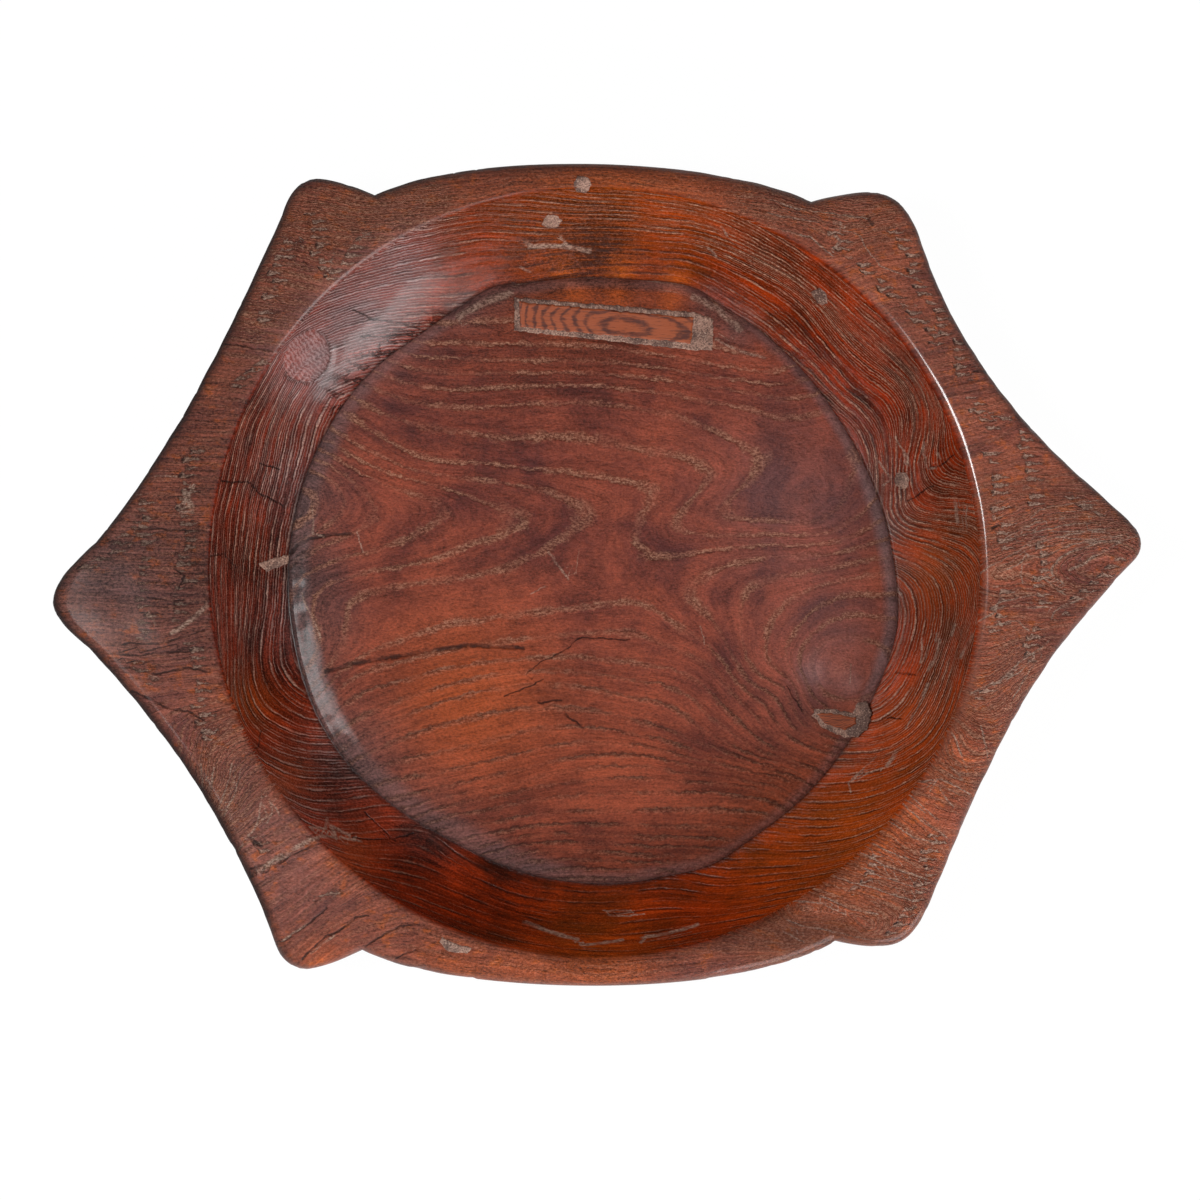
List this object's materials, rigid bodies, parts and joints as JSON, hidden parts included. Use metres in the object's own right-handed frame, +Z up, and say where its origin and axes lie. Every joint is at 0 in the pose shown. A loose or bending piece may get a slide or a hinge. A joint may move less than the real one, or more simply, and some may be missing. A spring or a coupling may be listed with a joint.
{
  "type": "carved wooden bowl with pointed rim",
  "caption": "Wide shallow round bowl carved in a thick plank whose rim runs out into long side points and short corner lobes, with let-in wood and putty mends.",
  "frame": {"origin": "centre of the bounding box in plan, at the height of the surface that the foot rests on", "axes": "+X towards the narrower long point, +Y across the plank towards the patched side of the floor, +Z up out of the hollow"},
  "size_m": [0.706, 0.5348, 0.088],
  "materials": {
    "carved_wood": "old open-grained hardwood, red-brown, glossy stain in the hollow and a drier satin rim and floor",
    "patch_wood": "let-in wood of a slightly redder tone, satin",
    "putty": "dull grey-brown wood filler with sawdust grit"
  },
  "bodies": {
    "root": {"bowl_body": "carved_wood", "floor_patch": "patch_wood", "floor_patch_filler": "putty", "knot_chip": "patch_wood", "knot_filler": "putty", "wall_crack_filler": "putty", "wall_plug_right": "putty", "wall_plug_top": "putty", "wall_plug_upper_right": "putty", "rim_plug_top": "putty", "rim_plug_bottom": "putty"}
  },
  "joints": []
}
